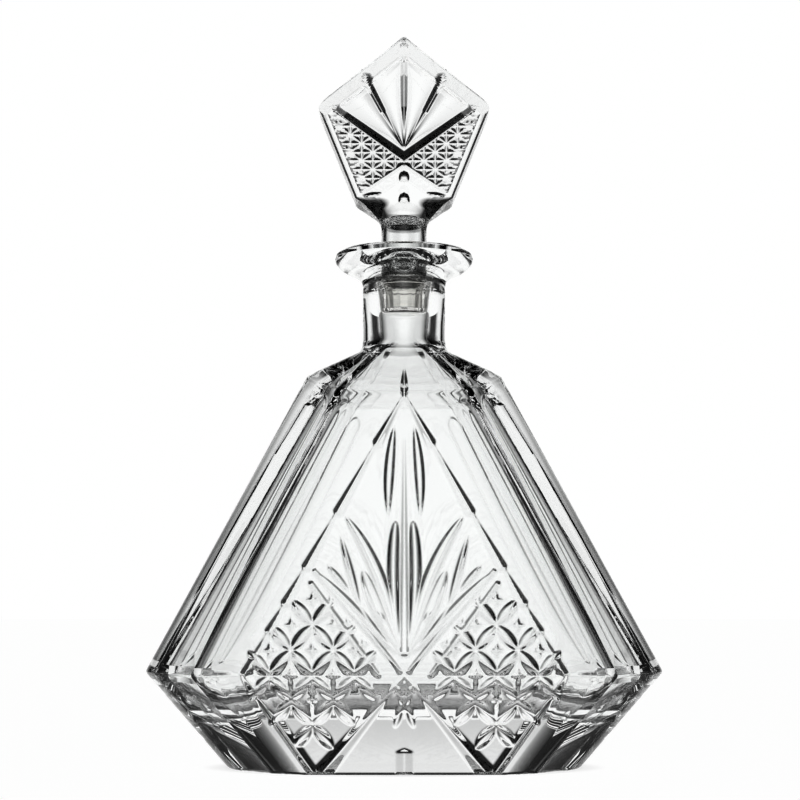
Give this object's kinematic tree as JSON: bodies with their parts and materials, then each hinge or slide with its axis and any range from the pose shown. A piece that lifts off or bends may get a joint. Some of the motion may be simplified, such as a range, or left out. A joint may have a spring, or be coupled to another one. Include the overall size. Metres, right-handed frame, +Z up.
{
  "type": "glass decanter",
  "caption": "Flask-shaped cut crystal decanter with fluted sides, a cut pattern on the front face, a round neck with a wide lip, and a pentagonal glass stopper in a soft seal.",
  "frame": {"origin": "on the table, under the middle of the decanter's base", "axes": "+Z up along the neck, X along the decanter's width, and the two broad faces look along -Y and +Y, with the cut pattern on the one towards -Y"},
  "size_m": [0.2008, 0.088, 0.288],
  "materials": {
    "body_crystal": "polished cut crystal",
    "stopper_crystal": "polished pressed crystal",
    "seal_plastic": "soft translucent plastic"
  },
  "bodies": {
    "decanter": {"decanter_body": "body_crystal"},
    "seal": {"stopper_seal": "seal_plastic"},
    "stopper": {"stopper": "stopper_crystal"}
  },
  "joints": [
    {"name": "stopper_lift", "type": "slide", "parent": "decanter", "child": "seal", "axis": [0, 0, 1], "range_m": [0, 0.06]},
    {"name": "stopper_turn", "type": "hinge", "parent": "seal", "child": "stopper", "pos_m": [0, 0, 0.19], "axis": [0, 0, 1], "continuous": true}
  ]
}
